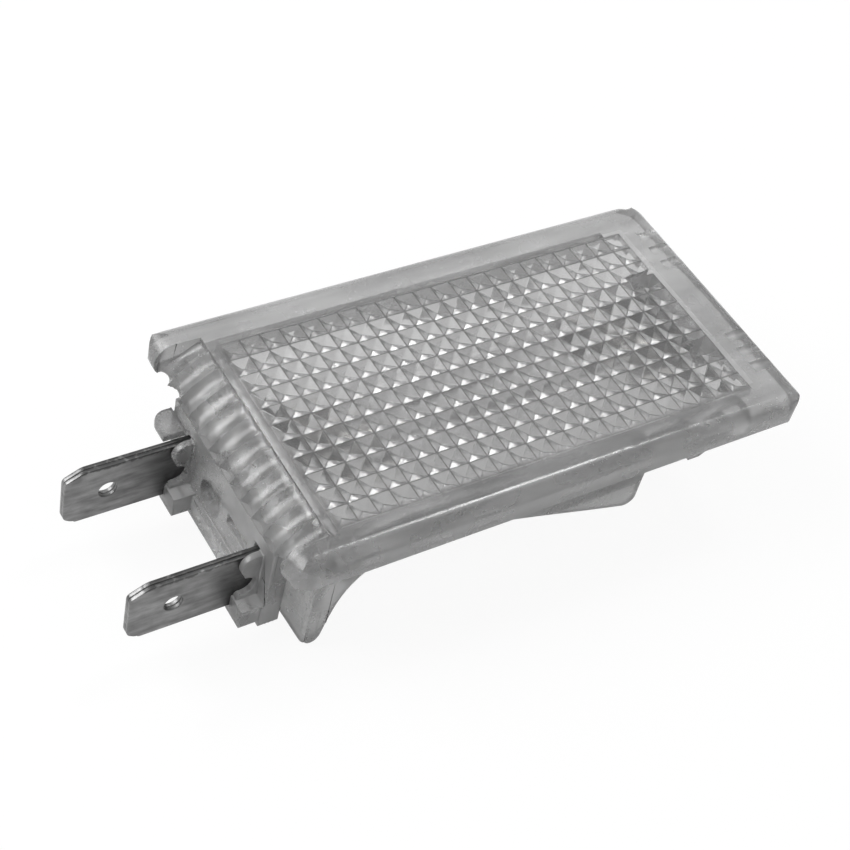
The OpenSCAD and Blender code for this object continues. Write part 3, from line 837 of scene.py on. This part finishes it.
CAP_OUT = [(13.68, 3.22), (13.6, 3.36), (13.66, 3.48), (13.85, 3.5), (14.2, 3.44),
           (14.6, 3.42), (14.9, 3.34), (15.1, 3.3), (15.3, 3.34), (15.6, 3.42), (17.2, 3.43),
           (17.7, 3.38), (18.1, 3.2), (18.35, 2.95), (18.9, 2.3), (19.45, 1.65), (19.7, 1.42),
           (19.9, 1.25), (19.99, 1.05), (20.0, 0.6), (20.0, 0)]
CAP_IN = [(19.72, 0), (19.7, 0.9), (19.2, 1.6), (18.2, 2.75), (17.9, 2.98), (17.4, 3.12),
          (15.7, 3.19), (13.75, 3.2), (13.68, 3.22)]
for name, side in (("left", -1), ("right", 1)):
    cap = one_piece("pressed_cap_" + name, [turned_mesh(CAP_OUT + CAP_IN, side)], 50)
    cap.data.materials.append(cap_metal)
    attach(cap, "root")
    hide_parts("bulb_cap_" + name)
print("caps:", len(cap.data.polygons), "faces each")

# %% [markdown]
# Three metals are left: solder, the nickel of the wires and the tungsten of the coil. They
# differ in grey and in roughness only, so one recipe serves them all. The handling marks
# make each of them duller and darker in patches.

# %% Solder, nickel and tungsten
def worn_metal(name, level, scale, rough_low, rough_high):
    finish, tree, skin = new_finish(name, Metallic=1.0, Roughness=rough_low,
                                    Base_Color=grey(level))
    worn = marks_in(tree, Patch_Scale=scale, Patch_Amount=0.9, Dust_Scale=4000.0,
                    Dust_Amount=0.5)
    rough = add_node(tree, "ShaderNodeMapRange", {0: worn, 1: 0.0, 2: 1.0, 3: rough_low,
                                                  4: rough_high})
    tree.links.new(rough.outputs[0], skin.inputs["Roughness"])
    shade = add_node(tree, "ShaderNodeMapRange", {0: worn, 1: 0.0, 2: 1.0, 3: level,
                                                  4: level * 0.6})
    tree.links.new(shade.outputs[0], skin.inputs["Base Color"])
    return finish


solder = worn_metal("solder", 0.5, 900.0, 0.25, 0.5)
wire = worn_metal("lead_wire", 0.42, 1500.0, 0.25, 0.45)
tungsten = worn_metal("tungsten", 0.2, 2500.0, 0.35, 0.5)
print("metals:", solder.name, wire.name, tungsten.name)

# %% [markdown]
# A drop of solder closes each cap's nose. It is turned like the cap. A set drop isn't quite
# round, so its points past the seat are moved back by an amount that changes round the
# axis, in another phase on each side.

# %% Solder drops
DROP = [(20.0, 0.86), (20.08, 0.9), (20.22, 0.84), (20.36, 0.66), (20.45, 0.42),
        (20.5, 0.16), (20.5, 0)]
DROP_SEAT, DROP_SLUMP = 20.1 * MM, 0.04 * MM
for name, side in (("left", -1), ("right", 1)):
    mesh = turned_mesh([(20.0, 0)] + DROP, side, 24)
    for vert in mesh.vertices:
        if abs(vert.co.x - BULB_MID) > DROP_SEAT:
            turn = math.atan2(vert.co.z - BULB_Z, vert.co.y)
            vert.co.x -= side * DROP_SLUMP * (1 + math.sin(2 * turn + side))
    drop = one_piece("solder_drop_" + name, [mesh], 60)
    drop.data.materials.append(solder)
    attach(drop, "root")
    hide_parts("solder_tip_" + name)
print("drops:", len(drop.data.polygons), "faces each")

# %% [markdown]
# Two nickel wires carry the coil, and each ends in a small hook pressed round its last
# turns. A wire is a round section run along a list of points. A curve with a bevel would
# do the same, but the sweep keeps its section from twisting and gives a mesh at once.

# %% Leads with hooks
LEAD_R, LEAD_ALONG = 0.19, (14.7, 12.0, 9.0, 7.2, 6.5)
HOOK_AT, HOOK_R = 6.2, 0.3
HOOK_TURNS = (math.pi / 2, 2.2, 2.9, 3.6, 4.3)


# The points and the radius are in mm, from the bulb's middle
def swept_tube(points, radius, steps=10):
    points = [Vector((BULB_MID + x * MM, y * MM, BULB_Z + z * MM)) for x, y, z in points]
    work = bmesh.new()
    rings, across = [], Vector((0, 0, 1))
    for k, here in enumerate(points):
        ahead = (points[min(k + 1, len(points) - 1)] - points[max(k - 1, 0)]).normalized()
        across = (across - ahead * across.dot(ahead)).normalized()
        other = ahead.cross(across)
        rings.append([work.verts.new(here + (across * math.cos(2 * math.pi * n / steps)
                      + other * math.sin(2 * math.pi * n / steps)) * radius * MM)
                      for n in range(steps)])
    for one, two in zip(rings, rings[1:]):
        for k in range(steps):
            n = (k + 1) % steps
            work.faces.new((one[k], one[n], two[n], two[k]))
    work.faces.new(rings[0][::-1])
    work.faces.new(rings[-1])
    bmesh.ops.recalc_face_normals(work, faces=work.faces)
    mesh = bpy.data.meshes.new("tube")
    work.to_mesh(mesh)
    work.free()
    return mesh


for name, side in (("left", -1), ("right", 1)):
    run = [(side * x, 0, 0) for x in LEAD_ALONG]
    hook = [(side * (HOOK_AT + HOOK_R * math.cos(a)), 0, HOOK_R - HOOK_R * math.sin(a))
            for a in HOOK_TURNS]
    lead = one_piece("hooked_lead_" + name, [swept_tube(run + hook, LEAD_R)])
    lead.data.materials.append(wire)
    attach(lead, "root")
    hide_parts("lead_" + name)
print("leads:", len(lead.data.polygons), "faces each")

# %% [markdown]
# The filament of a 10 W bulb is a close coil of very fine tungsten, and it sags a little
# when it is hot. A bump pattern on a plain rod would do from far away, but real turns catch
# the light through the glass, so a much thinner tube is swept along a helix that hangs
# through in its middle.

# %% Sagging coil
COIL_HALF, COIL_R, COIL_WIRE, COIL_TURNS, COIL_SAG = 6.0, 0.4, 0.07, 46, 0.25
TURN_POINTS = 12
coil_points = []
for k in range(COIL_TURNS * TURN_POINTS + 1):
    x = -COIL_HALF + 2 * COIL_HALF * k / (COIL_TURNS * TURN_POINTS)
    turn = 2 * math.pi * k / TURN_POINTS
    sag = -COIL_SAG * (1 - (x / COIL_HALF) ** 2)
    coil_points.append((x, COIL_R * math.cos(turn), sag + COIL_R * math.sin(turn)))
coil = one_piece("tungsten_coil", [swept_tube(coil_points, COIL_WIRE, 6)], 70)
coil.data.materials.append(tungsten)
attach(coil, "root")
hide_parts("filament")
print("coil:", len(coil.data.polygons), "faces")

# %% [markdown]
# Last, the view layer is brought up to date.

# %% Update the view layer
bpy.context.view_layer.update()
